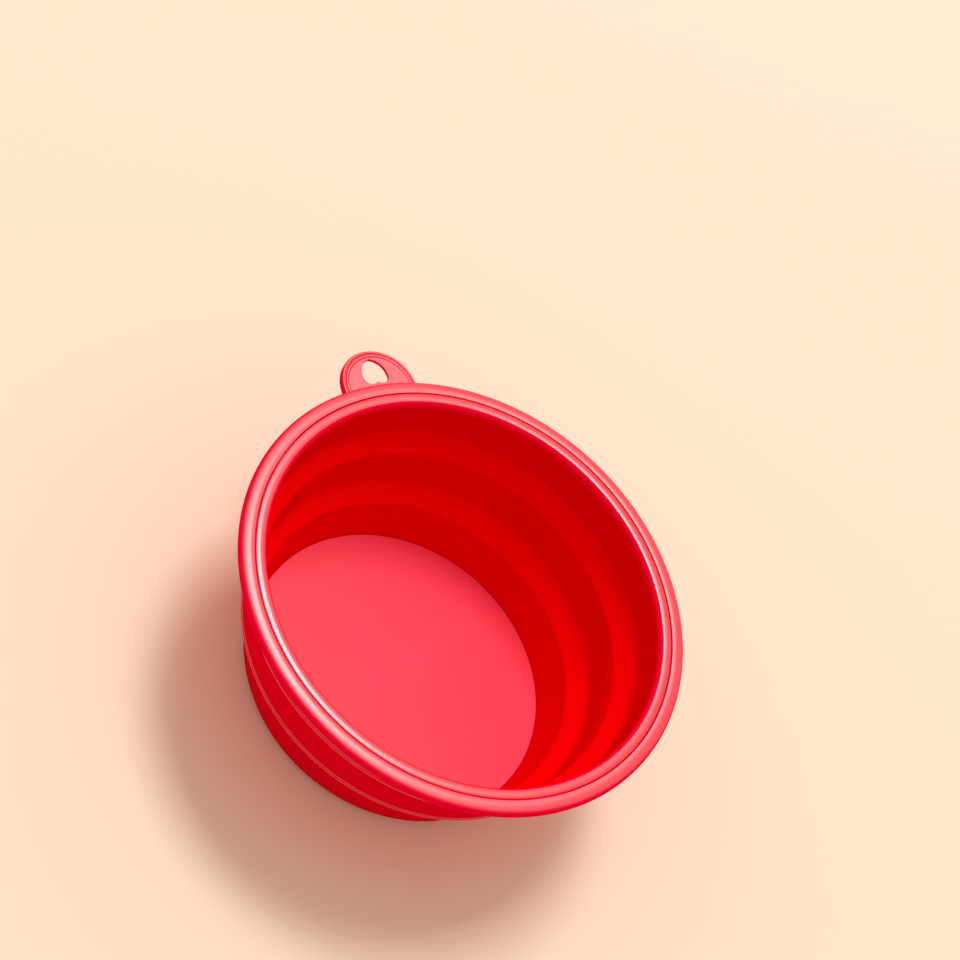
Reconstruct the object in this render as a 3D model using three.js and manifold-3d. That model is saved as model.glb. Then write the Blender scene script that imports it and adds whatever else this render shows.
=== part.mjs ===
// Collapsible dog bowl: a rigid rim ring with a hanging tab, a soft wall that folds in two places,
// and a rigid base plate. Millimetres, +Z up. The origin is the middle of the flat underside, and
// the tab points along +Y. The bowl is modelled opened out.
import * as THREE from 'three';
import { mergeVertices } from 'three/addons/utils/BufferGeometryUtils.js';
import Module from 'manifold-3d';

const wasm = await Module();
wasm.setup();

// Heights of the wall's bands, from the floor up
const LOWER_TIER_HEIGHT = 12;
const LOWER_FOLD_HEIGHT = 9.4;
const MIDDLE_TIER_HEIGHT = 8.9;
const UPPER_FOLD_HEIGHT = 9.4;
const UPPER_TIER_HEIGHT = 12.7;

// Rim ring
const RIM_RADIUS = 65;
const FLANGE_WIDTH = 4.1; // top of the flange, from its edge to the seam with the lip
const FLANGE_THICKNESS = 2.9;
const FLANGE_EDGE_ROUND = 1.3;
const FLANGE_OVERHANG = 2.5; // how far the flange stands out past the skirt
const CROWN = 0.3; // fall of the flange and the lip towards the seam between them
const SKIRT_HEIGHT = 4.5;
const SKIRT_FOOT_WIDTH = 1.5;

// Soft wall
const LIP_WIDTH = 3.4; // from the seam to the inside of the mouth
const LIP_THICKNESS = 1.6;
const LIP_ROUND = 0.7;
const NECK = 0.95; // wall behind the ring's skirt
const WALL = 1.7; // level thickness, so a slanted stretch is thinner across and bends first
const UPPER_DRAFT = 0.4; // radius lost down each tier
const MIDDLE_DRAFT = 0.4;
const LOWER_DRAFT = 3.2;
const UPPER_STEP = 5.2; // radius lost across each fold band
const LOWER_STEP = 5.2;
const SHOULDER_HEIGHT = 3; // steep foot of a fold band, under its slanted shelf
const SHOULDER_STEP = 0.7; // radius lost down the shoulder
const INSIDE_CREASE_ROUND = 4;
const OUTSIDE_CREASE_ROUND = 1;
const SHOULDER_ROUND = 1.6;

// Base plate and the soft foot that holds it
const PLATE_THICKNESS = 2.6;
const PLATE_RIM_THICKNESS = 0.9; // edge of the plate, which lies on the soft foot
const PLATE_RIM_WIDTH = 6.2; // from the plate's edge in to the boss under it
const DOVETAIL = 0.5; // how much wider the boss is at the floor, which locks it in the foot
const FOOT_ROUND = 4.5;
const FOOT_SHARE = 0.75; // of the lower tier's outside, drawn with the rounded foot

// Hanging tab
const TAB_RADIUS = 11.5;
const TAB_CENTRE_INSET = 0.8; // centre of the tab's arc inside the rim's edge
const TAB_DROP = 0.7; // border of the tab below the top of the rim
const TAB_BORDER_WIDTH = 1.25;
const TAB_RECESS = 0.5;
const HEART_WIDTH = 7.9;
const HEART_LENGTH = 8.5;
const HEART_LOBE_RADIUS = 2.3;
const HEART_CHEEK = 4.2; // height above the lobes' centres where the sides turn in to the tip
const HEART_GAP = 0.3; // from the rim's edge to the heart's lobes
const HEART_ARC_STEPS = 6;
const TAB_ARC_STEPS = 16;

const SEAM = 0.3; // clearance where a soft piece grips a rigid one
const SEGMENTS = 64;
const ARC_STEP = THREE.MathUtils.degToRad(30);

// Crease planes and radii of the wall's inside, from the floor up
const LOWER_CREASE = LOWER_TIER_HEIGHT;
const LOWER_BEND = LOWER_CREASE + LOWER_FOLD_HEIGHT;
const UPPER_CREASE = LOWER_BEND + MIDDLE_TIER_HEIGHT;
const UPPER_BEND = UPPER_CREASE + UPPER_FOLD_HEIGHT;
const TOP = UPPER_BEND + UPPER_TIER_HEIGHT;

const SEAM_RADIUS = RIM_RADIUS - FLANGE_WIDTH;
const MOUTH_RADIUS = SEAM_RADIUS - LIP_WIDTH;
const UPPER_BEND_RADIUS = MOUTH_RADIUS - UPPER_DRAFT;
const UPPER_CREASE_RADIUS = UPPER_BEND_RADIUS - UPPER_STEP;
const LOWER_BEND_RADIUS = UPPER_CREASE_RADIUS - MIDDLE_DRAFT;
const LOWER_CREASE_RADIUS = LOWER_BEND_RADIUS - LOWER_STEP;
const FOOT_RADIUS = LOWER_CREASE_RADIUS - LOWER_DRAFT; // where the inside would reach the floor
const SEAT_RADIUS = FOOT_RADIUS + (LOWER_DRAFT * PLATE_THICKNESS) / LOWER_TIER_HEIGHT;

const PLATE_RADIUS = SEAT_RADIUS - SEAM;
const PLATE_RIM_UNDERSIDE = PLATE_THICKNESS - PLATE_RIM_THICKNESS;
const BOSS_RADIUS = PLATE_RADIUS - PLATE_RIM_WIDTH;

const PLASTIC_RED = 0xe8354a;
const WALL_RED = 0xd0101c;
const PLATE_RED = 0xf04a5c;

/** A corner of a profile: radius, height and the round that blunts it. */
function corner(radius, height, round = 0) {
  return { at: new THREE.Vector2(radius, height), round };
}

/**
 * Points of a profile whose corners are blunted by arcs. The ends of an open profile stay sharp.
 */
function roundedProfile(corners, closed = false) {
  const points = [];
  const count = corners.length;
  corners.forEach(({ at, round }, index) => {
    const isEnd = !closed && (index === 0 || index === count - 1);
    if (isEnd || round === 0) {
      points.push(at.clone());
      return;
    }
    const towardsLast = corners[(index + count - 1) % count].at.clone().sub(at);
    const towardsNext = corners[(index + 1) % count].at.clone().sub(at);
    const halfAngle = Math.abs(towardsLast.angleTo(towardsNext)) / 2;
    const shortSide = Math.min(towardsLast.length(), towardsNext.length()) / 2;
    const setback = Math.min(round / Math.tan(halfAngle), shortSide);
    const radius = setback * Math.tan(halfAngle);
    towardsLast.normalize();
    towardsNext.normalize();
    const middle = towardsLast.clone().add(towardsNext).normalize();
    const centre = at.clone().addScaledVector(middle, radius / Math.sin(halfAngle));
    const start = at.clone().addScaledVector(towardsLast, setback).sub(centre);
    const side = Math.sign(towardsNext.cross(towardsLast));
    const sweep = side * (Math.PI - 2 * halfAngle);
    const steps = Math.ceil(Math.abs(sweep) / ARC_STEP);
    for (let step = 0; step <= steps; step += 1) {
      const turned = start.clone().rotateAround(new THREE.Vector2(), (sweep * step) / steps);
      points.push(turned.add(centre));
    }
  });
  return points;
}

/** The stretch of a falling profile between two heights, top end first. */
function stretch(points, high, low) {
  const at = (height) => {
    const next = points.findIndex((point) => point.y <= height);
    const last = Math.max(next - 1, 0);
    const share = (points[last].y - height) / (points[last].y - points[next].y || 1);
    return points[last].clone().lerp(points[next], share);
  };
  const between = points.filter((point) => point.y < high && point.y > low);
  return [at(high), ...between, at(low)];
}

/** A solid of revolution about Z from a closed profile of radius and height. */
function revolve(profile) {
  const loop = THREE.ShapeUtils.isClockWise(profile) ? [...profile].reverse() : [...profile];
  const geometry = new THREE.LatheGeometry([...loop, loop[0]], SEGMENTS);
  geometry.rotateX(Math.PI / 2);
  return geometry;
}

/** The solid of a geometry, for joining and cutting. */
function solid(geometry) {
  const bare = geometry.clone();
  bare.deleteAttribute('normal');
  bare.deleteAttribute('uv');
  const merged = mergeVertices(bare);
  return new wasm.Manifold(new wasm.Mesh({
    numProp: 3,
    vertProperties: new Float32Array(merged.attributes.position.array),
    triVerts: new Uint32Array(merged.index.array),
  }));
}

/** The geometry of a solid. */
function geometryOf(body) {
  const mesh = body.getMesh();
  const geometry = new THREE.BufferGeometry();
  geometry.setAttribute('position', new THREE.BufferAttribute(mesh.vertProperties, 3));
  geometry.setIndex(new THREE.BufferAttribute(mesh.triVerts, 1));
  return geometry;
}

/** A prism on a flat outline, between two heights. */
function prism(shape, low, high, curveSegments) {
  const geometry = new THREE.ExtrudeGeometry(shape, {
    depth: high - low,
    bevelEnabled: false,
    curveSegments,
  });
  return geometry.translate(0, 0, low);
}

/** Wall corners across one fold band: the bend, the shelf's shoulder and the crease. */
function foldCorners(bendRadius, bend, creaseRadius, crease, bendRound) {
  return [
    corner(bendRadius, bend, bendRound),
    corner(creaseRadius + SHOULDER_STEP, crease + SHOULDER_HEIGHT, SHOULDER_ROUND),
    corner(creaseRadius, crease, SHOULDER_ROUND),
  ];
}

/** One face of the soft wall from the mouth to the floor, moved out by a level offset. */
function wallFace(offset, bendRound) {
  return roundedProfile([
    corner(MOUTH_RADIUS + offset, TOP),
    ...foldCorners(UPPER_BEND_RADIUS + offset, UPPER_BEND,
      UPPER_CREASE_RADIUS + offset, UPPER_CREASE, bendRound),
    ...foldCorners(LOWER_BEND_RADIUS + offset, LOWER_BEND,
      LOWER_CREASE_RADIUS + offset, LOWER_CREASE, bendRound),
    corner(FOOT_RADIUS + offset, 0),
  ]);
}

const insideFace = wallFace(0, INSIDE_CREASE_ROUND);
const outsideFace = wallFace(WALL, OUTSIDE_CREASE_ROUND);

/** A plain band of the soft wall between two crease planes. */
function wallBand(high, low) {
  return revolve([...stretch(insideFace, high, low), ...stretch(outsideFace, high, low).reverse()]);
}

/** The upper tier with the lip that hooks over the rim ring and the step that holds it from below. */
function upperTier() {
  const neckRadius = MOUTH_RADIUS + NECK;
  const lipEdge = SEAM_RADIUS - SEAM;
  const lipUnderside = TOP - LIP_THICKNESS;
  const ringFoot = TOP - FLANGE_THICKNESS - SKIRT_HEIGHT;
  const lipAndStep = roundedProfile([
    corner(MOUTH_RADIUS + WALL, ringFoot - SEAM),
    corner(neckRadius, ringFoot - SEAM),
    corner(neckRadius, lipUnderside),
    corner(lipEdge, lipUnderside),
    corner(lipEdge, TOP - CROWN, LIP_ROUND),
    corner((lipEdge + MOUTH_RADIUS) / 2, TOP, LIP_ROUND),
    corner(MOUTH_RADIUS, TOP - CROWN, LIP_ROUND),
    corner(MOUTH_RADIUS, lipUnderside),
  ]);
  const inside = stretch(insideFace, lipUnderside, UPPER_BEND).slice(1);
  const outside = stretch(outsideFace, ringFoot - SEAM, UPPER_BEND).reverse().slice(0, -1);
  return revolve([...lipAndStep, ...inside, ...outside]);
}

/** The lower tier with the rounded foot that the base plate is seated in. */
function lowerTier() {
  const seatFloor = PLATE_RIM_UNDERSIDE - SEAM;
  const boreAtFloor = BOSS_RADIUS + SEAM;
  const boreAtSeat = boreAtFloor - (DOVETAIL * seatFloor) / PLATE_RIM_UNDERSIDE;
  const footTop = LOWER_CREASE * FOOT_SHARE;
  const inside = stretch(insideFace, LOWER_CREASE, PLATE_THICKNESS);
  const outside = stretch(outsideFace, LOWER_CREASE, footTop).reverse();
  const foot = roundedProfile([
    corner(SEAT_RADIUS, seatFloor),
    corner(boreAtSeat, seatFloor),
    corner(boreAtFloor, 0),
    corner(FOOT_RADIUS + WALL, 0, FOOT_ROUND),
    corner(FOOT_RADIUS + WALL + LOWER_DRAFT * FOOT_SHARE, footTop),
  ]);
  return revolve([...inside, ...foot, ...outside.slice(1)]);
}

/** The base plate: a disc whose rim lies on the soft foot, with a boss locked in it by a dovetail. */
function basePlate() {
  return revolve([
    new THREE.Vector2(0, 0),
    new THREE.Vector2(BOSS_RADIUS, 0),
    new THREE.Vector2(BOSS_RADIUS - DOVETAIL, PLATE_RIM_UNDERSIDE),
    new THREE.Vector2(PLATE_RADIUS, PLATE_RIM_UNDERSIDE),
    new THREE.Vector2(PLATE_RADIUS, PLATE_THICKNESS),
    new THREE.Vector2(0, PLATE_THICKNESS),
  ]);
}

/** The ring's section: flange, tapered skirt, and the rebate that the wall's lip lies in. */
function ringSection() {
  const bore = MOUTH_RADIUS + NECK + SEAM;
  const rebate = TOP - LIP_THICKNESS - SEAM;
  const flangeUnderside = TOP - FLANGE_THICKNESS;
  const skirtFoot = flangeUnderside - SKIRT_HEIGHT;
  return roundedProfile([
    corner(bore, skirtFoot),
    corner(bore + SKIRT_FOOT_WIDTH, skirtFoot),
    corner(RIM_RADIUS - FLANGE_OVERHANG, flangeUnderside),
    corner(RIM_RADIUS, flangeUnderside, FLANGE_EDGE_ROUND),
    corner(RIM_RADIUS, TOP, FLANGE_EDGE_ROUND),
    corner((RIM_RADIUS + SEAM_RADIUS) / 2, TOP),
    corner(SEAM_RADIUS, TOP - CROWN),
    corner(SEAM_RADIUS, rebate),
    corner(bore, rebate),
  ], true);
}

/** The tab's outline at a given arc radius, with its root inside the flange. */
function tabOutline(arcRadius, centre, root) {
  const shape = new THREE.Shape();
  shape.moveTo(-arcRadius, root);
  shape.lineTo(arcRadius, root);
  shape.lineTo(arcRadius, centre);
  shape.absarc(0, centre, arcRadius, 0, Math.PI, false);
  shape.closePath();
  return shape;
}

/** The heart-shaped hole, with its lobes at the rim and its tip pointing away from it. */
function heartOutline() {
  const lobes = RIM_RADIUS + HEART_GAP;
  const half = HEART_WIDTH / 2;
  const lobeX = half - HEART_LOBE_RADIUS;
  const lobeY = lobes + HEART_LOBE_RADIUS;
  const tip = lobes + HEART_LENGTH;
  const cheek = lobeY + HEART_CHEEK;
  const notchAngle = Math.acos(lobeX / HEART_LOBE_RADIUS);
  const shape = new THREE.Shape();
  shape.absarc(lobeX, lobeY, HEART_LOBE_RADIUS, Math.PI + notchAngle, 2 * Math.PI, false);
  shape.quadraticCurveTo(half, cheek, 0, tip);
  shape.quadraticCurveTo(-half, cheek, -half, lobeY);
  shape.absarc(-lobeX, lobeY, HEART_LOBE_RADIUS, Math.PI, 2 * Math.PI - notchAngle, false);
  return shape;
}

/** The rim ring, one moulding with its hanging tab. */
function rimRing() {
  const centre = RIM_RADIUS - TAB_CENTRE_INSET;
  const root = (RIM_RADIUS + SEAM_RADIUS) / 2;
  const underside = TOP - FLANGE_THICKNESS;
  const border = TOP - TAB_DROP;
  const field = border - TAB_RECESS;
  const outline = tabOutline(TAB_RADIUS, centre, root);
  const inset = tabOutline(TAB_RADIUS - TAB_BORDER_WIDTH, centre, root);
  const ear = solid(prism(outline, underside, border, TAB_ARC_STEPS));
  const recess = solid(prism(inset, field, TOP, TAB_ARC_STEPS));
  const hole = solid(prism(heartOutline(), underside - SEAM, TOP, HEART_ARC_STEPS));
  const tab = ear.subtract(recess).subtract(hole);
  return geometryOf(solid(revolve(ringSection())).add(tab));
}

const rigid = { roughness: 0.42, metalness: 0 };
const soft = { roughness: 0.55, metalness: 0 };

const pieces = [
  ['base_plate', basePlate(), PLATE_RED, rigid],
  ['lower_tier', lowerTier(), WALL_RED, soft],
  ['lower_fold_band', wallBand(LOWER_BEND, LOWER_CREASE), WALL_RED, soft],
  ['middle_tier', wallBand(UPPER_CREASE, LOWER_BEND), WALL_RED, soft],
  ['upper_fold_band', wallBand(UPPER_BEND, UPPER_CREASE), WALL_RED, soft],
  ['upper_tier', upperTier(), WALL_RED, soft],
  ['rim_ring', rimRing(), PLASTIC_RED, rigid],
];

const bowl = new THREE.Group();
for (const [name, geometry, color, finish] of pieces) {
  const mesh = new THREE.Mesh(geometry, new THREE.MeshStandardMaterial({ color, ...finish }));
  mesh.name = name;
  bowl.add(mesh);
}

export default bowl;
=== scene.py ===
"""Looks of a collapsible travel bowl for dogs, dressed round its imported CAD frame.

The bowl has three mouldings: a stiff rim ring with a hanging tab, a soft wall that folds in two
places, and a stiff base plate. The wall is drawn as five bands, because its folds move them against
each other. Sections are drawn in millimetres as radius and height, and a Geometry Nodes tree turns
them round the bowl's axis.
"""

import logging
import math
from collections.abc import Sequence
from dataclasses import dataclass, field
from enum import Enum

import bmesh
import bpy
from bpy.types import ID, Material, Node, NodeOutputs, NodeTree, Object
from bpy.types import NodeSocket as Socket
from mathutils import Color, Matrix, Vector


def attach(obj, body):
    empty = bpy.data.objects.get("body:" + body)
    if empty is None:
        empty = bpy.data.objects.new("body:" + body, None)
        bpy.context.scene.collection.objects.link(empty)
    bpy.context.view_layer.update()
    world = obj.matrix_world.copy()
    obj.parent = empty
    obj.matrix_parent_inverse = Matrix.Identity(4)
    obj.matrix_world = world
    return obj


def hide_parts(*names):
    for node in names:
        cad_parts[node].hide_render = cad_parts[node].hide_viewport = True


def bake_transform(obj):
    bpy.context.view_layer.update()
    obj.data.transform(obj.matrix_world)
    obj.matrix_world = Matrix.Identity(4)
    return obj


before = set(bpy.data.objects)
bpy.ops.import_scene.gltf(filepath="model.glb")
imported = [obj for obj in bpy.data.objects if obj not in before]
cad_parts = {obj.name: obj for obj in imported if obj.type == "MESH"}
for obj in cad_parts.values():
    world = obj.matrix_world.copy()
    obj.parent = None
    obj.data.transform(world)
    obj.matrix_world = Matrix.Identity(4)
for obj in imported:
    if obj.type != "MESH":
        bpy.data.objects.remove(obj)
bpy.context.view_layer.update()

LOG = logging.getLogger("bowl")
MM = 0.001

BOWL_HEIGHT = 52.4  # opened out, mm
PLATE_THICKNESS = 2.6  # mm

ARC_STEP = math.radians(6)  # turn between two points on a rounded corner of a section
LEAST_ARC_STEPS = 2
SIDE_LENGTH = 0.7  # longest side of a section, mm
FOLD_SIDE_LENGTH = 0.3  # longest side in a fold band, which has to stay smooth when it turns over
SEGMENTS = 224  # sides of a turned piece
SWEEP_RADIUS = 20.0  # radius of the circle that carries a section round, mm
SHARP_ANGLE = math.radians(32)  # turn from which an edge is drawn sharp
WELD = 0.0005  # distance at which points on the axis are merged, mm
LEVEL_PART = (1.0, 1.0, 0.0)  # what a vector is multiplied by to make it level
CHANNEL_MAX = 255  # largest value of a channel in a hex colour

RAMP_SOCKETS = ("Value", "From Min", "From Max", "To Min", "To Max")

# Sockets of a mix node by number, because those for numbers and for colours share their names
MIX_SHARE = 0
FIRST_NUMBER = 2
SECOND_NUMBER = 3
FIRST_COLOUR = 6
SECOND_COLOUR = 7
MIXED_COLOUR = 2  # an output

Point = tuple[float, float]
Triple = tuple[float, float, float]
Setting = float | int | str | bool | Sequence[float] | Socket


class Body(Enum):
    """Bodies of the CAD frame."""

    BASE = "base"
    MIDDLE = "middle"
    RIM = "rim"


class Slot(Enum):
    """Material slots of the record."""

    PLATE = "plate_plastic"
    WALL = "wall_elastomer"
    RIM = "rim_plastic"


@dataclass(frozen=True)
class Corner:
    """A corner of a section: its radius and height, and the round that blunts it, in mm."""

    radius: float
    height: float
    blunt: float = 0.0

    @property
    def at(self) -> Vector:
        """The corner as a flat vector."""
        return Vector((self.radius, self.height))


def arc_steps(turn: float) -> int:
    """Number of sides that draw a turn in radians."""
    return max(LEAST_ARC_STEPS, math.ceil(abs(turn) / ARC_STEP))


def rounded(*corners: Corner) -> list[Point]:
    """Blunts the corners of a section with arcs.

    Args:
        corners: Corners in order. The first and the last one stay sharp.

    Returns:
        Points of the section.
    """
    points: list[Point] = []
    for index, corner in enumerate(corners):
        is_end = index in (0, len(corners) - 1)
        if is_end or corner.blunt == 0:
            points.append((corner.radius, corner.height))
            continue
        to_last = corners[index - 1].at - corner.at
        to_next = corners[index + 1].at - corner.at
        half_angle = to_last.angle(to_next) / 2
        half_side = min(to_last.length, to_next.length) / 2
        setback = min(corner.blunt / math.tan(half_angle), half_side)
        radius = setback * math.tan(half_angle)
        to_last.normalize()
        to_next.normalize()
        centre = corner.at + (to_last + to_next).normalized() * radius / math.sin(half_angle)
        start = corner.at + to_last * setback - centre
        turn = math.copysign(math.pi - 2 * half_angle, to_next.cross(to_last))
        steps = arc_steps(turn)
        for step in range(steps + 1):
            spoke = Matrix.Rotation(turn * step / steps, 2) @ start
            points.append(tuple(centre + spoke))
    return points


def along(start: Point, length: float, angle: float) -> Point:
    """Finds a point at a distance from another, in a direction in degrees up from straight out."""
    turn = math.radians(angle)
    return start[0] + length * math.cos(turn), start[1] + length * math.sin(turn)


def arc(centre: Point, radius: float, first: float, last: float) -> list[Point]:
    """Draws an arc of a section.

    Args:
        centre: Radius and height of the arc's centre, mm.
        radius: Radius of the arc, mm.
        first: Direction of its first point from the centre, degrees up from straight out.
        last: Direction of its last point.

    Returns:
        Points of the arc.
    """
    steps = arc_steps(math.radians(last - first))
    angles = [first + (last - first) * step / steps for step in range(steps + 1)]
    return [along(centre, radius, angle) for angle in angles]


def divided(points: Sequence[Point], longest: float, closed: bool = False) -> list[Point]:
    """Adds points to a section until no side is longer than a given length.

    Args:
        points: Points of the section.
        longest: Longest side that is left, mm.
        closed: Whether the last point joins the first.

    Returns:
        Points of the finer section.
    """
    finer: list[Point] = []
    ends = [*points[1:], points[0]] if closed else points[1:]
    for start, end in zip(points, ends):
        a, b = Vector(start), Vector(end)
        pieces = max(1, math.ceil((b - a).length / longest))
        finer.extend(tuple(a.lerp(b, piece / pieces)) for piece in range(pieces))
    if not closed:
        finer.append(points[-1])
    return finer


def point_at(points: Sequence[Point], height: float) -> Point:
    """Finds the point of a falling section at a height.

    Args:
        points: Points of the section, highest first.
        height: The height, mm.

    Returns:
        The point.
    """
    below = next(i for i, point in enumerate(points) if point[1] <= height)
    last, following = Vector(points[max(below - 1, 0)]), Vector(points[below])
    fall = last.y - following.y
    share = (last.y - height) / fall if fall else 0.0
    return tuple(last.lerp(following, share))


def stretch(points: Sequence[Point], high: float, low: float) -> list[Point]:
    """Cuts out the part of a falling section between two heights.

    Args:
        points: Points of the section, highest first.
        high: Upper height, mm.
        low: Lower height, mm.

    Returns:
        Points of the part, highest first.
    """
    between = [point for point in points if low < point[1] < high]
    return [point_at(points, high), *between, point_at(points, low)]


def linear(colour: str) -> tuple[float, float, float, float]:
    """Turns an sRGB colour, given as "#rrggbb", to red, green, blue and alpha in linear light."""
    shares = [channel / CHANNEL_MAX for channel in bytes.fromhex(colour.lstrip("#"))]
    return (*Color(shares).from_srgb_to_scene_linear(), 1.0)


def set_inputs(node: Node, inputs: dict[str | int, Setting]) -> None:
    """Sets or links the inputs of a node.

    Args:
        node: The node.
        inputs: A value, or an output socket to link, for each input by name or number.
    """
    for name, value in inputs.items():
        socket = node.inputs[name]
        if isinstance(value, Socket):
            node.id_data.links.new(value, socket)
        else:
            socket.default_value = value


def add_node(
    tree: NodeTree,
    kind: str,
    inputs: dict[str | int, Setting] | None = None,
    **settings: Setting,
) -> NodeOutputs:
    """Adds a node with its settings and links.

    Args:
        tree: Tree that gets the node.
        kind: Node type.
        inputs: What its inputs are set or linked to, by name or number.
        settings: Values of the node's own properties.

    Returns:
        The node's outputs.
    """
    node = tree.nodes.new(kind)
    for name, value in settings.items():
        setattr(node, name, value)
    set_inputs(node, inputs or {})
    return node.outputs


def link_object(name: str, data: ID) -> Object:
    """Puts a mesh, a lamp or a camera in the scene, at the origin.

    Args:
        name: Name of the object.
        data: The mesh, lamp or camera.

    Returns:
        The new object.
    """
    item = bpy.data.objects.new(name, data)
    bpy.context.scene.collection.objects.link(item)
    return item


def bake(piece: Object) -> Object:
    """Replaces an object's mesh by its modifiers' result, and removes the modifiers.

    Args:
        piece: Object with live modifiers.

    Returns:
        The same object with a plain mesh.
    """
    graph = bpy.context.evaluated_depsgraph_get()
    result = bpy.data.meshes.new_from_object(piece.evaluated_get(graph))
    source = piece.data
    piece.modifiers.clear()
    piece.data = result
    result.name = piece.name
    bpy.data.meshes.remove(source)
    return piece


class TurningTree:
    """A node tree that turns a section round the bowl's axis into a closed, shaded mesh."""

    def __init__(self) -> None:
        """Builds the tree once for all turned pieces."""
        self.tree = bpy.data.node_groups.new("turn_section", "GeometryNodeTree")
        sockets = self.tree.interface
        sockets.new_socket("Section", in_out="INPUT", socket_type="NodeSocketGeometry")
        self.inputs = {
            name: sockets.new_socket(name, in_out="INPUT", socket_type=kind).identifier
            for name, kind in (
                ("Segments", "NodeSocketInt"),
                ("Sweep Radius", "NodeSocketFloat"),
                ("Sharp Angle", "NodeSocketFloat"),
                ("Weld Distance", "NodeSocketFloat"),
                ("Finish", "NodeSocketMaterial"),
            )
        }
        sockets.new_socket("Piece", in_out="OUTPUT", socket_type="NodeSocketGeometry")
        self._wire()

    def _wire(self) -> None:
        """Adds the nodes, from the section to the finished piece."""
        tree = self.tree
        given = add_node(tree, "NodeGroupInput")
        angle = add_node(tree, "GeometryNodeInputMeshEdgeAngle")["Unsigned Angle"]
        angles = {0: angle, 1: given["Sharp Angle"]}
        is_soft = add_node(tree, "FunctionNodeCompare", angles, operation="LESS_THAN")[0]
        sides = {"Resolution": given["Segments"], "Radius": given["Sweep Radius"]}
        circle = add_node(tree, "GeometryNodeCurvePrimitiveCircle", sides)[0]
        # A section is drawn from the axis, and the sweep places it from the circle.
        inward = {0: given["Sweep Radius"], 1: -1.0}
        back = add_node(tree, "ShaderNodeMath", inward, operation="MULTIPLY")[0]
        offset = add_node(tree, "ShaderNodeCombineXYZ", {"X": back})[0]
        curve = add_node(tree, "GeometryNodeMeshToCurve", {"Mesh": given["Section"]})[0]
        placing = {"Geometry": curve, "Translation": offset}
        placed = add_node(tree, "GeometryNodeTransform", placing)[0]
        sweep = {"Curve": circle, "Profile Curve": placed}
        piece = add_node(tree, "GeometryNodeCurveToMesh", sweep)[0]
        # The sweep hangs the section upside down, so the first step turns the piece over.
        steps = (
            ("Transform", {"Rotation": (math.pi, 0.0, 0.0)}, {}),
            ("MergeByDistance", {"Distance": given["Weld Distance"]}, {}),
            ("SetShadeSmooth", {"Shade Smooth": True}, {"domain": "FACE"}),
            ("SetShadeSmooth", {"Shade Smooth": is_soft}, {"domain": "EDGE"}),
            ("RealizeInstances", {}, {}),
            ("SetMaterial", {"Material": given["Finish"]}, {}),
        )
        for step, inputs, settings in steps:
            inputs["Geometry"] = piece
            piece = add_node(tree, f"GeometryNode{step}", inputs, **settings)[0]
        add_node(tree, "NodeGroupOutput", {0: piece})

    def turn(self, name: str, section: Sequence[Point], finish: Material) -> Object:
        """Makes a piece from a closed section.

        Args:
            name: Name of the piece.
            section: Points of radius and height in mm, counter-clockwise.
            finish: Material of the piece.

        Returns:
            The piece, with a plain mesh in metres.
        """
        count = len(section)
        mesh = bpy.data.meshes.new(name)
        mesh.from_pydata(
            [(radius * MM, height * MM, 0.0) for radius, height in section],
            [(index, (index + 1) % count) for index in range(count)],
            [],
        )
        piece = link_object(name, mesh)
        modifier = piece.modifiers.new(self.tree.name, "NODES")
        modifier.node_group = self.tree
        values = {
            "Segments": SEGMENTS,
            "Sweep Radius": SWEEP_RADIUS * MM,
            "Sharp Angle": SHARP_ANGLE,
            "Weld Distance": WELD * MM,
            "Finish": finish,
        }
        for socket, value in values.items():
            modifier[self.inputs[socket]] = value
        return bake(piece)


@dataclass(frozen=True)
class Skin:
    """Nodes of a material, with the place of a point on the piece and the normal there."""

    tree: NodeTree
    place: Socket
    facing: Socket

    def outward(self) -> Socket:
        """Finds the part of the normal that points away from the bowl's axis.

        Returns:
            1 on an upright face that looks outwards, and -1 on one that looks inwards.
        """
        flat = {0: self.place, 1: LEVEL_PART}
        level = add_node(self.tree, "ShaderNodeVectorMath", flat, operation="MULTIPLY")[0]
        spoke = add_node(self.tree, "ShaderNodeVectorMath", {0: level}, operation="NORMALIZE")[0]
        both = {0: spoke, 1: self.facing}
        return add_node(self.tree, "ShaderNodeVectorMath", both, operation="DOT_PRODUCT")["Value"]


@dataclass(frozen=True)
class Shine:
    """Share of the light that a skin mirrors, where 0.5 is plain plastic.

    Faces that look up come from the polished half of the mould and mirror more than upright ones.
    """

    side: float
    top: float
    start: float  # upward part of the normal at which the polish starts
    full: float  # upward part at which it is full

    def add(self, skin: Skin) -> Socket:
        """Adds the nodes that find the share at a point.

        Args:
            skin: Nodes of the material.

        Returns:
            The share.
        """
        upward = add_node(skin.tree, "ShaderNodeSeparateXYZ", {0: skin.facing})["Z"]
        ramp = dict(zip(RAMP_SOCKETS, (upward, self.start, self.full, self.side, self.top)))
        return add_node(skin.tree, "ShaderNodeMapRange", ramp)[0]


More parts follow.
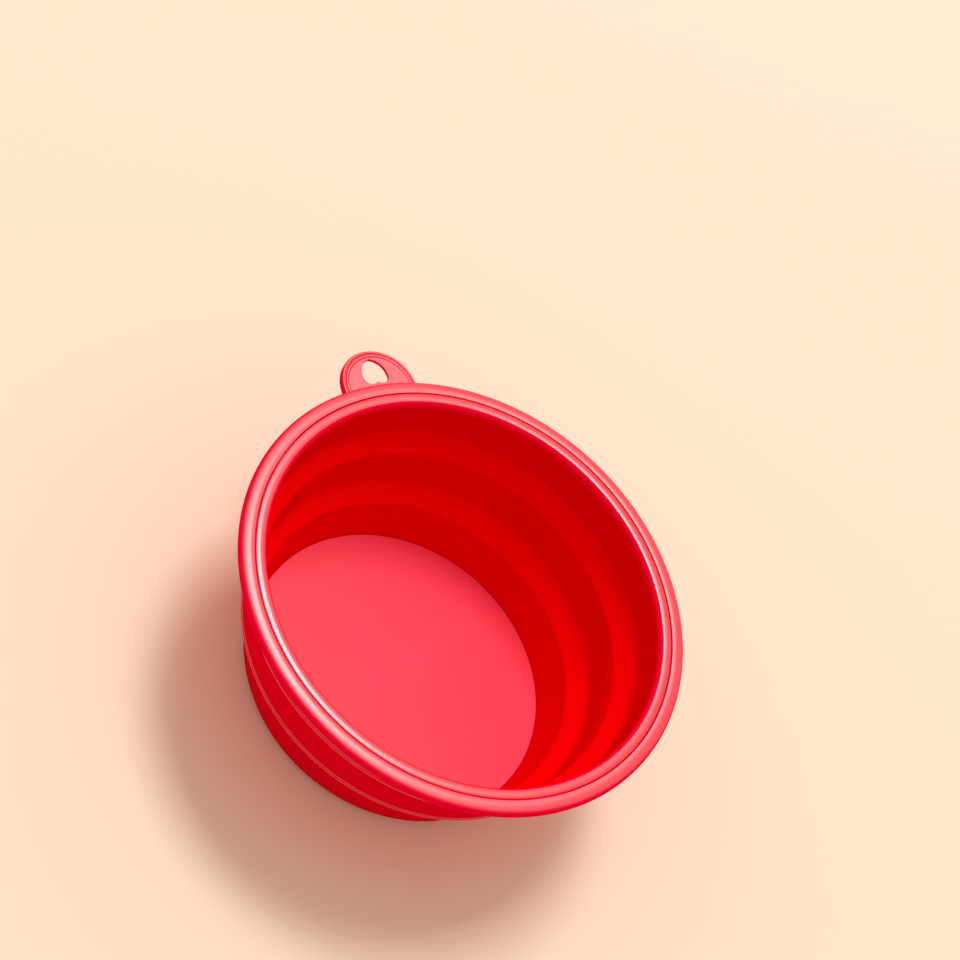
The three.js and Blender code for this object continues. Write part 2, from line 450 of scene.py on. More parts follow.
@dataclass(frozen=True, kw_only=True)
class Finish:
    """A moulded red skin. Each kind says how its colour changes over the surface."""

    name: str
    colour: str
    deep_colour: str
    roughness: float
    shine: Shine | float
    roughness_spread: float
    grain_size: float
    grain_depth: float
    grain_detail: float
    ior: float = 1.6

    def paint(self, skin: Skin) -> Socket:
        """Adds the nodes that find the colour at a point."""
        raise NotImplementedError

    def polish(self, skin: Skin) -> Setting:
        """Finds the share of the light that is mirrored, at a point or all over."""
        return self.shine.add(skin) if isinstance(self.shine, Shine) else self.shine

    def material(self) -> Material:
        """Builds the material.

        Returns:
            The material, with the colour, the shine and the fine grain of the skin.
        """
        material = bpy.data.materials.new(self.name)
        material.use_nodes = True
        tree = material.node_tree
        coordinates = add_node(tree, "ShaderNodeTexCoord")
        skin = Skin(tree, coordinates["Object"], coordinates["Normal"])
        pattern = {
            "Vector": skin.place,
            "Scale": 1 / (self.grain_size * MM),
            "Detail": self.grain_detail,
        }
        grain = add_node(tree, "ShaderNodeTexNoise", pattern)[0]
        gloss = {
            "Value": grain,
            "To Min": self.roughness - self.roughness_spread,
            "To Max": self.roughness + self.roughness_spread,
        }
        relief = {"Height": grain, "Distance": self.grain_depth * MM}
        set_inputs(
            tree.nodes["Principled BSDF"],
            {
                "Base Color": self.paint(skin),
                "Roughness": add_node(tree, "ShaderNodeMapRange", gloss)[0],
                "Normal": add_node(tree, "ShaderNodeBump", relief)[0],
                "Specular IOR Level": self.polish(skin),
                "IOR": self.ior,
            },
        )
        return material


@dataclass(frozen=True, kw_only=True)
class MouldedPlastic(Finish):
    """Injection-moulded polypropylene with a fine spark-eroded skin.

    The eye gets a satin red with soft, wide highlights, a faint grit where the light grazes it, and
    slow changes of depth where the melt flowed.
    """

    roughness_spread: float = 0.05
    grain_size: float = 0.45  # mm; real grit is about 0.05 mm, drawn coarser so that it shows
    grain_depth: float = 0.006  # mm
    grain_detail: float = 2.0
    flow_size: float = 22.0  # mm, width of the slow changes of depth
    flow_detail: float = 3.0

    def paint(self, skin: Skin) -> Socket:
        """Adds the nodes that find the colour at a point.

        Args:
            skin: Nodes of the material.

        Returns:
            The colour.
        """
        pattern = {
            "Vector": skin.place,
            "Scale": 1 / (self.flow_size * MM),
            "Detail": self.flow_detail,
        }
        mixture = {
            MIX_SHARE: add_node(skin.tree, "ShaderNodeTexNoise", pattern)[0],
            FIRST_COLOUR: linear(self.colour),
            SECOND_COLOUR: linear(self.deep_colour),
        }
        return add_node(skin.tree, "ShaderNodeMix", mixture, data_type="RGBA")[MIXED_COLOUR]


@dataclass(frozen=True, kw_only=True)
class SoftElastomer(Finish):
    """Moulded thermoplastic elastomer, the rubbery red of the folding wall.

    The eye gets a pure red. Faces that look up, such as the shelves of the folds, are painted
    brighter as painted light from above, and the upright tiers deeper as painted shade. The outside
    is painted a cooler crimson as a painted sheen of the fill light, and the mouth pinker as a
    painted glow of light that gets into the lip. There is faint clouding and a dull skin on the
    wall, while the lip and the ribs on the outside are polished and carry narrow lines of light.
    """

    # Painted sheen: the outside is painted crimson for the fill light on it, the purer red inside
    # for light bouncing round the bowl
    painted_outside_sheen_colour: str
    # Painted glow: the lip is painted pinker for light that gets into it
    painted_lip_glow_colour: str
    shine: Shine
    polished_levels: Sequence[float]  # heights of the polished ribs, mm
    polished_width: float = 0.36
    roughness_spread: float = 0.03
    deep_until: float = 0.18  # upward part of the normal up to which a face gets the painted shade
    bright_from: float = 0.6  # upward part from which it gets the painted light from above
    mouth_low: float = 49.4  # mm, where the wall starts to turn to the painted glow of the lip
    mouth_high: float = 51.6
    outside_start: float = 0.2  # outward part of the normal at which the painted sheen of the outside starts
    outside_full: float = 0.8
    cloud_share: float = 0.25  # of the change of colour that is clouding
    cloud_size: float = 30.0  # mm
    cloud_detail: float = 2.0
    grain_size: float = 2.5  # mm, width of the faint unevenness of the skin
    grain_depth: float = 0.001  # mm
    grain_detail: float = 3.0

    def paint(self, skin: Skin) -> Socket:
        """Adds the nodes that find the colour at a point.

        Args:
            skin: Nodes of the material.

        Returns:
            The colour.
        """
        tree = skin.tree
        upward = add_node(tree, "ShaderNodeSeparateXYZ", {0: skin.facing})["Z"]
        level = add_node(tree, "ShaderNodeSeparateXYZ", {0: skin.place})["Z"]
        # Painted light: faces that look up are painted brighter and upright ones deeper, as an
        # overhead light would show them; the outside gets a painted sheen and the lip a painted
        # glow
        ramps = (
            (upward, self.deep_until, self.bright_from),
            (skin.outward(), self.outside_start, self.outside_full),
            (level, self.mouth_low * MM, self.mouth_high * MM),
        )
        painted_top_light, outside, mouth = (
            add_node(tree, "ShaderNodeMapRange", dict(zip(RAMP_SOCKETS, ramp)))[0] for ramp in ramps
        )
        pattern = {
            "Vector": skin.place,
            "Scale": 1 / (self.cloud_size * MM),
            "Detail": self.cloud_detail,
        }
        clouded = {
            MIX_SHARE: self.cloud_share,
            FIRST_NUMBER: painted_top_light,
            SECOND_NUMBER: add_node(tree, "ShaderNodeTexNoise", pattern)[0],
        }
        brightness = add_node(tree, "ShaderNodeMix", clouded, data_type="FLOAT")[0]
        # The colour starts from the painted shade of the upright faces
        colour: Setting = linear(self.deep_colour)
        hues = (self.colour, self.painted_outside_sheen_colour, self.painted_lip_glow_colour)
        for share, hue in zip((brightness, outside, mouth), hues):
            mixture = {MIX_SHARE: share, FIRST_COLOUR: colour, SECOND_COLOUR: linear(hue)}
            colour = add_node(tree, "ShaderNodeMix", mixture, data_type="RGBA")[MIXED_COLOUR]
        return colour

    def polish(self, skin: Skin) -> Setting:
        """Adds the nodes that find the share of the light that is mirrored at a point.

        Args:
            skin: Nodes of the material.

        Returns:
            The share, which is full on the outside of a rib.
        """
        tree = skin.tree
        level = add_node(tree, "ShaderNodeSeparateXYZ", {0: skin.place})["Z"]
        on_rib: Setting = 0.0
        for polished in self.polished_levels:
            strip = {0: level, 1: polished * MM, 2: self.polished_width * MM / 2}
            near = add_node(tree, "ShaderNodeMath", strip, operation="COMPARE")[0]
            on_rib = add_node(tree, "ShaderNodeMath", {0: near, 1: on_rib}, operation="MAXIMUM")[0]
        looks_out = {0: skin.outward(), 1: 0.0}
        outside = add_node(tree, "ShaderNodeMath", looks_out, operation="GREATER_THAN")[0]
        ribs = add_node(tree, "ShaderNodeMath", {0: outside, 1: on_rib}, operation="MULTIPLY")[0]
        both = {0: self.shine.add(skin), 1: ribs}
        return add_node(tree, "ShaderNodeMath", both, operation="MAXIMUM")[0]


@dataclass
class SoftWall:
    """The soft wall: a lip, three tiers and two fold bands, one moulding on the real bowl.

    Heights and radii in mm are those of the CAD nodes. Radii are of the inside face.
    """

    turning: TurningTree
    finish: Material
    top: float = BOWL_HEIGHT
    upper_bend: float = 39.7
    upper_crease: float = 30.3
    lower_bend: float = 21.4
    lower_crease: float = 12.0
    mouth_radius: float = 57.5
    upper_bend_radius: float = 57.1
    upper_crease_radius: float = 51.9
    lower_bend_radius: float = 51.5
    lower_crease_radius: float = 46.3
    foot_radius: float = 43.1  # where the inside face would reach the floor
    thickness: float = 1.7
    shoulder_height: float = 3.0
    shoulder_step: float = 0.7
    inside_bend_round: float = 7.0
    outside_bend_round: float = 0.8
    shoulder_round: float = 3.5
    crease_round: float = 2.0

    # Lip round the mouth: a flat crown, a shoulder on each side, and a roll that joins the wall
    crown_radius: float = 59.48
    crown_round: float = 5.2
    crown_tilt: float = 11.3  # degrees to either side that the crown reaches
    outer_shoulder: float = 0.6
    outer_shoulder_end: float = 10.0  # degrees up from straight out, at the seam
    inner_shoulder: float = 0.8
    inner_shoulder_end: float = 132.0
    roll_centre: Point = (58.95, 50.8)
    roll_round: float = 1.5
    roll_start: float = 128.0
    roll_gap: float = 0.6  # height over which the roll runs into the wall
    lip_underside: float = 50.8
    neck_radius: float = 58.45
    ring_foot: float = 44.7

    # Fine polished ribs on the outside, just over each bend
    rib_round: float = 0.22
    rib_heights: tuple[float, float] = (0.35, 1.35)

    # Rounded foot that the base plate is seated in
    plate_top: float = PLATE_THICKNESS
    seat_radius: float = 43.79
    seat_floor: float = 1.4
    bore_at_seat: float = 37.18
    bore_at_floor: float = 37.59
    foot_round: float = 4.5
    foot_share: float = 0.75  # of the lower tier's outside, drawn with the rounded foot

    # Rounded end of a tier inside the neighbouring fold band, which closes the fold's ridge
    end_inset: float = 0.15
    end_height: float = 0.36
    end_round: float = 0.3

    inside_face: list[Point] = field(init=False)
    outside_face: list[Point] = field(init=False)

    def __post_init__(self) -> None:
        """Draws the two faces that the sections are cut from."""
        self.inside_face = self.face(0.0, self.inside_bend_round)
        self.outside_face = self.face(self.thickness, self.outside_bend_round)

    @classmethod
    def rib_levels(cls) -> list[float]:
        """Heights of all ribs, mm."""
        bends = (cls.upper_bend, cls.lower_bend)
        return [bend + height for bend in bends for height in cls.rib_heights]

    def face(self, offset: float, bend_round: float) -> list[Point]:
        """Draws one face of the wall from the mouth to the floor.

        Args:
            offset: Level distance from the inside face, mm.
            bend_round: Round of the two bends above the fold bands, mm.

        Returns:
            Points of the face, highest first.
        """
        folds = (
            (self.upper_bend_radius, self.upper_bend, self.upper_crease_radius, self.upper_crease),
            (self.lower_bend_radius, self.lower_bend, self.lower_crease_radius, self.lower_crease),
        )
        corners = [Corner(self.mouth_radius + offset, self.top)]
        for bend_radius, bend, crease_radius, crease in folds:
            shoulder = crease_radius + self.shoulder_step
            corners += [
                Corner(bend_radius + offset, bend, bend_round),
                Corner(shoulder + offset, crease + self.shoulder_height, self.shoulder_round),
                Corner(crease_radius + offset, crease, self.crease_round),
            ]
        corners.append(Corner(self.foot_radius + offset, 0.0))
        return rounded(*corners)

    def end_cap(self, inside: Point, outside: Point, way: int) -> list[Point]:
        """Draws the rounded end that a tier hides inside the next fold band.

        Args:
            inside: Last point of the tier's inside face.
            outside: Last point of its outside face.
            way: 1 for an upper end and -1 for a lower one.

        Returns:
            Points from the inside face to the outside face, without those two.
        """
        near = inside[0] + self.end_inset
        far = outside[0] - self.end_inset
        level = inside[1] + way * self.end_height
        return rounded(
            Corner(near, inside[1]),
            Corner(near, level, self.end_round),
            Corner(far, level, self.end_round),
            Corner(far, outside[1]),
        )

    def band(self, high: float, low: float) -> list[Point]:
        """Draws the section of a fold band between two heights.

        Args:
            high: Height of its upper end, mm.
            low: Height of its lower end, mm.

        Returns:
            Points of the closed section.
        """
        inside = divided(stretch(self.inside_face, high, low), FOLD_SIDE_LENGTH)
        outside = divided(stretch(self.outside_face, high, low), FOLD_SIDE_LENGTH)
        return [*inside, *reversed(outside)]

    def ribbed(self, outside: Sequence[Point], bend: float) -> list[Point]:
        """Adds the fine ribs to a tier's outside face.

        Args:
            outside: Points of the face, highest first.
            bend: Height of the bend under the tier, mm.

        Returns:
            Points of the ribbed face, highest first.
        """
        points = list(outside)
        for height in self.rib_heights:
            middle = bend + height
            upper = stretch(points, points[0][1], middle + self.rib_round)
            lower = stretch(points, middle - self.rib_round, points[-1][1])
            rib = arc((upper[-1][0], middle), self.rib_round, 90.0, -90.0)
            points = [*upper, *rib[1:-1], *lower]
        return points

    def middle_tier(self) -> list[Point]:
        """Draws the section of the middle tier.

        Returns:
            Points of the closed section.
        """
        inside = stretch(self.inside_face, self.upper_crease, self.lower_bend)
        outside = stretch(self.outside_face, self.upper_crease, self.lower_bend)
        upper_end = self.end_cap(inside[0], outside[0], 1)
        lower_end = self.end_cap(inside[-1], outside[-1], -1)
        ribbed = self.ribbed(outside, self.lower_bend)
        outline = [*inside, *lower_end, *reversed(ribbed), *reversed(upper_end)]
        return divided(outline, SIDE_LENGTH, closed=True)

    def upper_tier(self) -> list[Point]:
        """Draws the section of the upper tier, with the lip and the neck that hold the rim ring.

        Returns:
            Points of the closed section.
        """
        crown_centre = (self.crown_radius, self.top - self.crown_round)
        outer_tilt = 90.0 - self.crown_tilt
        inner_tilt = 90.0 + self.crown_tilt
        # Where arcs run on without a corner, their centres are in line with the join.
        outer_centre = along(crown_centre, self.crown_round - self.outer_shoulder, outer_tilt)
        inner_centre = along(crown_centre, self.crown_round - self.inner_shoulder, inner_tilt)
        lip = [
            *arc(outer_centre, self.outer_shoulder, self.outer_shoulder_end, outer_tilt),
            *arc(crown_centre, self.crown_round, outer_tilt, inner_tilt)[1:-1],
            *arc(inner_centre, self.inner_shoulder, inner_tilt, self.inner_shoulder_end),
            *arc(self.roll_centre, self.roll_round, self.roll_start, 180.0),
        ]
        seat = [
            (self.mouth_radius + self.thickness, self.ring_foot),
            (self.neck_radius, self.ring_foot),
            (self.neck_radius, self.lip_underside),
            (lip[0][0], self.lip_underside),
        ]
        inside = stretch(self.inside_face, self.roll_centre[1] - self.roll_gap, self.upper_bend)
        outside = stretch(self.outside_face, self.ring_foot, self.upper_bend)
        lower_end = self.end_cap(inside[-1], outside[-1], -1)
        ribbed = self.ribbed(outside, self.upper_bend)
        outline = [*seat, *lip, *inside, *lower_end, *reversed(ribbed[1:])]
        return divided(outline, SIDE_LENGTH, closed=True)

    def lower_tier(self) -> list[Point]:
        """Draws the section of the lower tier, with the rounded foot under the base plate's rim.

        Returns:
            Points of the closed section.
        """
        foot_top = self.lower_crease * self.foot_share
        inside = stretch(self.inside_face, self.lower_crease, self.plate_top)
        outside = stretch(self.outside_face, self.lower_crease, foot_top)
        foot = rounded(
            Corner(self.seat_radius, self.seat_floor),
            Corner(self.bore_at_seat, self.seat_floor),
            Corner(self.bore_at_floor, 0.0),
            Corner(self.foot_radius + self.thickness, 0.0, self.foot_round),
            Corner(*outside[-1]),
        )
        upper_end = self.end_cap(inside[0], outside[0], 1)
        outline = [*inside, *foot, *reversed(outside[:-1]), *reversed(upper_end)]
        return divided(outline, SIDE_LENGTH, closed=True)

    def build(self) -> dict[str, Object]:
        """Makes the five bands of the wall.

        Returns:
            Pieces by the name of the CAD node that each one stands for.
        """
        sections = {
            "lower_tier": self.lower_tier(),
            "lower_fold_band": self.band(self.lower_bend, self.lower_crease),
            "middle_tier": self.middle_tier(),
            "upper_fold_band": self.band(self.upper_bend, self.upper_crease),
            "upper_tier": self.upper_tier(),
        }
        return {
            node: self.turning.turn(f"wall_{node}", section, self.finish)
            for node, section in sections.items()
        }

    def dress(self, pieces: dict[str, Object]) -> None:
        """Fastens the three tiers to their bodies, bakes the two fold bands in place, and hides the
        CAD nodes that the bands stand for.

        Args:
            pieces: Pieces by CAD node.
        """
        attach(pieces["lower_tier"], Body.BASE.value)
        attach(pieces["middle_tier"], Body.MIDDLE.value)
        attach(pieces["upper_tier"], Body.RIM.value)
        folds = (
            ("lower_fold_band", Body.BASE, Body.MIDDLE, self.lower_crease, self.lower_bend),
            ("upper_fold_band", Body.MIDDLE, Body.RIM, self.upper_crease, self.upper_bend),
        )
        for node, below, above, low, high in folds:
            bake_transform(pieces[node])
        for node, piece in pieces.items():
            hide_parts(node)


@dataclass
class RimRing:
    """The stiff ring round the mouth, one moulding with its hanging tab. Sizes in mm."""

    turning: TurningTree
    finish: Material
    radius: float = 65.0
    top: float = BOWL_HEIGHT
    crown_radius: float = 62.15
    crown_rounds: tuple[float, float] = (8.0, 4.0)  # outer and inner part of the crown
    crown_tilts: tuple[float, float] = (13.7, 14.0)  # degrees that the crown reaches out and in
    crown_join: float = 4.2  # degrees outwards at which the two parts meet
    nose_round: float = 1.64
    under_round: float = 0.8
    seam_radius: float = 61.15
    seam_round: float = 0.15
    flange_underside: float = 49.5
    skirt_radius: float = 62.5
    skirt_foot_radius: float = 60.25
    skirt_foot: float = 45.0
    bead_width: float = 0.3  # of the bead round the skirt's foot
    bead_height: float = 0.6
    bore: float = 58.75
    rebate: float = 50.5
    skirt_round: float = 0.4

    # Hanging tab
    tab_radius: float = 11.5
    tab_centre: float = 64.2
    tab_root: float = 62.4
    tab_bottom: float = 49.6
    field_height: float = 51.5
    field_underside: float = 50.4
    tab_edge_round: float = 0.35

    # Border of the tab: two fine ridges with a groove between, at insets from the tab's outline
    ridge_height: float = 51.75
    outer_ridge: Point = (0.3, 0.8)
    groove: Point = (1.1, 51.3)  # inset and height
    inner_ridge: Point = (1.4, 1.9)
    border_width: float = 2.15
    field_margin: float = 0.2  # flat strip that keeps the field's shading level
    ridge_round: float = 0.25
    border_foot_round: float = 1.5

    # Heart-shaped hole
    heart_lobes: float = 65.3
    heart_width: float = 7.9
    heart_length: float = 7.8
    lobe_radius: float = 2.3
    cheek: float = 4.2  # height over the lobes' centres at which the sides turn to the tip
    heart_edge_round: float = 0.15
    heart_margin: float = 0.3  # flat strip round the hole
    border_gap: float = 0.45  # least distance between the hole and the border
    heart_steps: int = 14

    def section(self) -> list[Point]:
        """Draws the ring: flange, tapered skirt, and the rebate that the wall's lip lies in.

        Returns:
            Points of the closed section.
        """
        bead_radius = self.skirt_foot_radius + self.bead_width
        bead_top = self.skirt_foot + self.bead_height
        skirt = rounded(
            Corner(self.bore, self.skirt_foot),
            Corner(bead_radius, self.skirt_foot, self.bead_width),
            Corner(bead_radius, bead_top, self.bead_width),
            Corner(self.skirt_foot_radius, bead_top),
            Corner(self.skirt_radius, self.flange_underside, self.skirt_round),
            Corner(self.radius - self.under_round, self.flange_underside),
        )
        under_centre = (self.radius - self.under_round, self.flange_underside + self.under_round)
        outer_round, inner_round = self.crown_rounds
        outer_tilt = 90.0 - self.crown_tilts[0]
        inner_tilt = 90.0 + self.crown_tilts[1]
        join = 90.0 - self.crown_join
        inner_centre = (self.crown_radius, self.top - inner_round)
        outer_centre = along(inner_centre, inner_round - outer_round, join)
        nose_centre = along(outer_centre, outer_round - self.nose_round, outer_tilt)
        crown = [
            *arc(outer_centre, outer_round, outer_tilt, join),
            *arc(inner_centre, inner_round, join, inner_tilt)[1:],
        ]
        seam = rounded(
            Corner(*crown[-1]),
            Corner(self.seam_radius, crown[-1][1], self.seam_round),
            Corner(self.seam_radius, self.rebate),
            Corner(self.bore, self.rebate),
        )
        outline = [
            *skirt[:-1],
            *arc(under_centre, self.under_round, -90.0, 0.0),
            *arc(nose_centre, self.nose_round, 0.0, outer_tilt),
            *crown[1:-1],
            *seam,
        ]
        return divided(outline, SIDE_LENGTH, closed=True)

    def heart(self) -> list[Vector]:
        """Draws the heart's outline.

        Returns:
            Its points, counter-clockwise from the notch between the lobes.
        """
        half = self.heart_width / 2
        lobe = (half - self.lobe_radius, self.heart_lobes + self.lobe_radius)
        tip = Vector((0.0, self.heart_lobes + self.heart_length))
        side = Vector((half, lobe[1]))
        knee = Vector((half, lobe[1] + self.cheek))
        notch = math.degrees(math.acos(lobe[0] / self.lobe_radius))
        shares = [step / self.heart_steps for step in range(self.heart_steps)]
        right = [
            Vector(along(lobe, self.lobe_radius, 180.0 + notch + (180.0 - notch) * share))
            for share in shares
        ]
        right += [side.lerp(knee, share).lerp(knee.lerp(tip, share), share) for share in shares]
        left = [Vector((-point.x, point.y)) for point in reversed(right[1:])]
        return [*right, tip, *left]

    def tab_edge(self, ray: Vector, hub: Vector, inset: float) -> Vector:
        """Finds where a ray from inside the tab meets its outline.

        Args:
            ray: Direction of the ray.
            hub: Start of the ray.
            inset: How far the outline is moved in, mm.

        Returns:
            The point on the outline.
        """
        reach = self.tab_radius - inset
        if ray.y < 0:
            at_root = hub + ray * ((self.tab_root - hub.y) / ray.y)
            if abs(at_root.x) <= reach:
                return at_root
            at_side = hub + ray * (reach / abs(ray.x))
            if at_side.y < self.tab_centre:
                return at_side
        across = hub - Vector((0.0, self.tab_centre))
        half = across.dot(ray)
        length = math.sqrt(half * half - across.length_squared + reach * reach) - half
        return hub + ray * length

    def border(self) -> list[Point]:
        """Draws the section of the tab's border, from the field round the edge to the underside.

        Returns:
            Points of inset from the tab's outline and height.
        """
        field_edge = self.border_width + self.field_margin
        ridge, blunt = self.ridge_height, self.ridge_round
        return rounded(
            Corner(field_edge, self.field_height),
            Corner(self.border_width, self.field_height, self.border_foot_round),
            Corner(self.inner_ridge[1], ridge, blunt),
            Corner(self.inner_ridge[0], ridge, blunt),
            Corner(*self.groove, blunt),
            Corner(self.outer_ridge[1], ridge, blunt),
            Corner(self.outer_ridge[0], ridge, blunt),
            Corner(0.0, self.groove[1], self.tab_edge_round),
            Corner(0.0, self.tab_bottom, self.tab_edge_round),
            Corner(self.inner_ridge[1], self.tab_bottom, blunt),
            Corner(self.border_width, self.field_underside, blunt),
            Corner(field_edge, self.field_underside),
        )

    def hole(self) -> list[Point]:
        """Draws the section of the hole's edge, from the underside up to the field.

        Returns:
            Points of distance from the heart's outline and height.
        """
        return rounded(
            Corner(self.heart_margin, self.field_underside),
            Corner(0.0, self.field_underside, self.heart_edge_round),
            Corner(0.0, self.field_height, self.heart_edge_round),
            Corner(self.heart_margin, self.field_height),
        )

    def tab(self) -> Object:
        """Makes the tab: a raised border round a sunk field, pierced by the heart.

        Returns:
            The tab on its own.
        """
        heart = self.heart()
        hub = Vector((0.0, self.heart_lobes + self.heart_length / 2))
        rays = [(point - hub).normalized() for point in heart]
        border = self.border()
        # Near the heart's tip the border narrows, so that it doesn't run into the hole.
        reach = border[0][0]
        shares = [
            min(1.0, ((self.tab_edge(ray, hub, 0.0) - point).length - self.border_gap) / reach)
            for point, ray in zip(heart, rays)
        ]
        outlines = [
            ([self.tab_edge(ray, hub, inset * share) for ray, share in zip(rays, shares)], height)
            for inset, height in border
        ]
        outlines += [
            ([point + ray * offset for point, ray in zip(heart, rays)], height)
            for offset, height in self.hole()
        ]
        mesh = bmesh.new()
        rings = [
            [mesh.verts.new((point.x * MM, point.y * MM, height * MM)) for point in outline]
            for outline, height in outlines
        ]
        count = len(rays)
        for ring, following in zip(rings, [*rings[1:], rings[0]]):
            for index in range(count):
                after = (index + 1) % count
                mesh.faces.new((ring[index], following[index], following[after], ring[after]))
        bmesh.ops.recalc_face_normals(mesh, faces=mesh.faces)
        data = bpy.data.meshes.new("tab")
        mesh.to_mesh(data)
        mesh.free()
        data.materials.append(self.finish)
        return link_object("tab", data)

    def build(self) -> Object:
        """Makes the ring and joins the tab to it.

        Returns:
            The rim moulding.
        """
        ring = self.turning.turn("rim_moulding", self.section(), self.finish)
        tab = self.tab()
        union = ring.modifiers.new("tab", "BOOLEAN")
        union.operation = "UNION"
        union.solver = "EXACT"
        union.object = tab
        bake(ring)
        bpy.data.objects.remove(tab)
        ring.data.shade_smooth()
        ring.data.set_sharp_from_angle(angle=SHARP_ANGLE)
        return ring

    def dress(self, ring: Object) -> None:
        """Fastens the moulding to the rim's body.

        Args:
            ring: The rim moulding.
        """
        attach(ring, Body.RIM.value)
        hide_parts("rim_ring")


@dataclass
class BasePlate:
    """The stiff disc in the bottom of the bowl, locked in the soft foot. Sizes in mm."""

    turning: TurningTree
    finish: Material
    radius: float = 43.75
    thickness: float = PLATE_THICKNESS
    edge_round: float = 0.2
    rim_underside: float = 1.7
    boss_radius: float = 37.29
    dovetail: float = 0.5

    def build(self) -> Object:
        """Makes the disc.

        Returns:
            The disc.
        """
        outline = rounded(
            Corner(0.0, 0.0),
            Corner(self.boss_radius, 0.0, self.edge_round),
            Corner(self.boss_radius - self.dovetail, self.rim_underside),
            Corner(self.radius, self.rim_underside, self.edge_round),
            Corner(self.radius, self.thickness, self.edge_round),
            Corner(0.0, self.thickness),
        )
        return self.turning.turn("base_plate_moulding", outline, self.finish)

    def dress(self, plate: Object) -> None:
        """Fastens the disc to the base.

        Args:
            plate: The disc.
        """
        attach(plate, Body.BASE.value)
        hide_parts("base_plate")


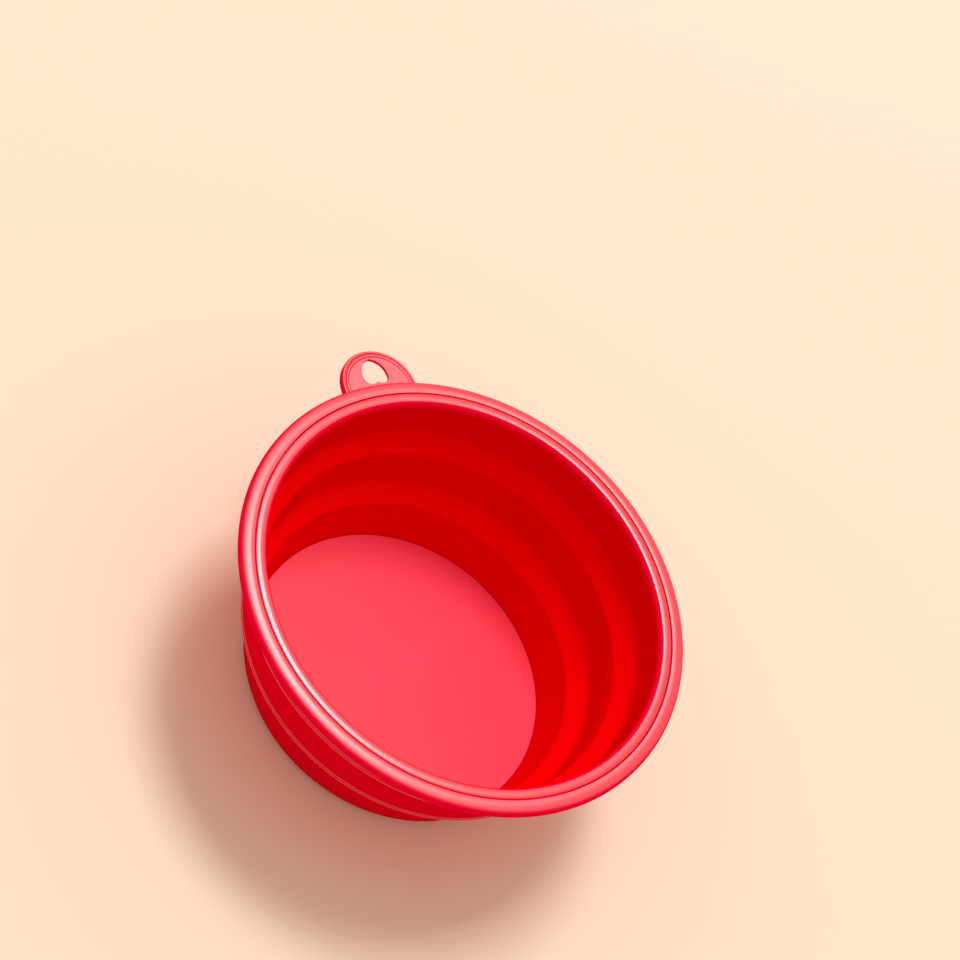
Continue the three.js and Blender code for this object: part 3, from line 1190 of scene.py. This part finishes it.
@dataclass(frozen=True)
class Studio:
    """A pale floor, one large soft light, an even fill and the camera. Lengths in metres."""

    floor_colour: str = "#f8e4d0"
    floor_roughness: float = 0.9
    floor_shine: float = 0.1
    fill_colour: str = "#fff4e8"
    fill_low: float = 0.45  # strength of the fill at the horizon
    fill_high: float = 0.7  # and straight above
    backdrop_strength: float = 0.85
    floor_reach: float = 6.0
    floor_drop: float = 0.0002  # keeps the floor clear of the underside
    key_from: Triple = (0.235, 0.3, 0.925)
    key_up: Triple = (0.0, 1.0, 0.0)
    key_distance: float = 3.0
    key_size: tuple[float, float] = (0.8, 1.1)
    key_power: float = 46.0
    camera_at: Triple = (-0.38403, -0.22457, 0.60548)
    camera_forward: Triple = (0.5502, 0.35007, -0.75811)
    camera_up: Triple = (0.14, 0.85635, 0.49705)
    lens: float = 100.0  # mm
    sensor: float = 36.0  # mm
    clip_start: float = 0.01

    def build(self) -> None:
        """Sets the stage."""
        self._floor()
        self._world()
        self._key()
        self._camera()
        bpy.context.scene.view_settings.view_transform = "Standard"

    def _floor(self) -> None:
        """Lays the floor just under the bowl."""
        reach = self.floor_reach
        flat = ((-reach, -reach), (reach, -reach), (reach, reach), (-reach, reach))
        corners = [(x, y, -self.floor_drop) for x, y in flat]
        mesh = bpy.data.meshes.new("floor")
        mesh.from_pydata(corners, [], [range(len(corners))])
        material = bpy.data.materials.new("floor_paper")
        material.use_nodes = True
        set_inputs(
            material.node_tree.nodes["Principled BSDF"],
            {
                "Base Color": linear(self.floor_colour),
                "Roughness": self.floor_roughness,
                "Specular IOR Level": self.floor_shine,
            },
        )
        mesh.materials.append(material)
        link_object("floor", mesh)

    def _world(self) -> None:
        """Fills from all round, most from above, and shows the floor's colour behind it."""
        world = bpy.data.worlds.new("studio")
        bpy.context.scene.world = world
        world.use_nodes = True
        tree = world.node_tree
        path = add_node(tree, "ShaderNodeLightPath")
        seen = path["Is Camera Ray"]
        for kind in ("Is Glossy Ray", "Is Transmission Ray"):
            rays = {0: seen, 1: path[kind]}
            seen = add_node(tree, "ShaderNodeMath", rays, operation="MAXIMUM")[0]
        direction = add_node(tree, "ShaderNodeTexCoord")["Generated"]
        upward = add_node(tree, "ShaderNodeSeparateXYZ", {0: direction})["Z"]
        ramp = {"Value": upward, "To Min": self.fill_low, "To Max": self.fill_high}
        strength = add_node(tree, "ShaderNodeMapRange", ramp)[0]
        lights = ((self.fill_colour, strength), (self.floor_colour, self.backdrop_strength))
        fill, backdrop = (
            add_node(tree, "ShaderNodeBackground", {"Color": linear(colour), "Strength": power})[0]
            for colour, power in lights
        )
        mixed = add_node(tree, "ShaderNodeMixShader", {0: seen, 1: fill, 2: backdrop})[0]
        set_inputs(tree.nodes["World Output"], {"Surface": mixed})

    def _key(self) -> None:
        """Hangs the soft light."""
        data = bpy.data.lights.new("softbox", "AREA")
        data.shape = "RECTANGLE"
        data.size, data.size_y = self.key_size
        data.energy = self.key_power
        back = Vector(self.key_from).normalized()
        self._stand(link_object("softbox", data), back * self.key_distance, back, self.key_up)

    def _camera(self) -> None:
        """Places the camera at the photograph's viewpoint."""
        data = bpy.data.cameras.new("camera")
        data.lens = self.lens
        data.sensor_width = self.sensor
        data.clip_start = self.clip_start
        camera = link_object("camera", data)
        back = -Vector(self.camera_forward).normalized()
        self._stand(camera, self.camera_at, back, self.camera_up)
        bpy.context.scene.camera = camera

    def _stand(self, item: Object, at: Sequence[float], back: Vector, up: Triple) -> None:
        """Places a lamp or a camera.

        Args:
            item: The lamp or the camera.
            at: Where it stands.
            back: Unit vector away from what it looks at.
            up: About which way is up in its view.
        """
        across = Vector(up).cross(back).normalized()
        turn = Matrix((across, back.cross(across), back)).transposed().to_4x4()
        item.matrix_world = Matrix.Translation(at) @ turn


def main() -> None:
    """Builds the bowl and its stage."""
    logging.basicConfig(level=logging.INFO, format="%(name)s: %(message)s")
    rim_finish = MouldedPlastic(
        name="rim_polypropylene",
        colour="#fd0838",
        deep_colour="#f60632",
        roughness=0.38,
        shine=Shine(side=0.0, top=1.0, start=0.75, full=0.95),
    )
    plate_finish = MouldedPlastic(
        name="plate_polypropylene",
        colour="#ff264f",
        deep_colour="#f92048",
        roughness=0.55,
        shine=0.4,
    )
    wall_finish = SoftElastomer(
        name="wall_elastomer",
        # The bright red is painted light on faces that look up, the deep red painted shade on
        # upright faces
        colour="#ff0207",
        deep_colour="#de0002",
        painted_outside_sheen_colour="#ee0224",
        painted_lip_glow_colour="#fd0834",
        roughness=0.3,
        shine=Shine(side=0.0, top=0.95, start=0.87, full=0.985),
        polished_levels=SoftWall.rib_levels(),
    )
    turning = TurningTree()

    wall = SoftWall(turning, wall_finish.material())
    bands = wall.build()
    wall.dress(bands)

    ring = RimRing(turning, rim_finish.material())
    rim_moulding = ring.build()
    ring.dress(rim_moulding)

    plate = BasePlate(turning, plate_finish.material())
    disc = plate.build()
    plate.dress(disc)

    for piece in (*bands.values(), rim_moulding, disc):
        LOG.info("%s: %d faces", piece.name, len(piece.data.polygons))

    Studio().build()


if __name__ == "__main__":
    main()
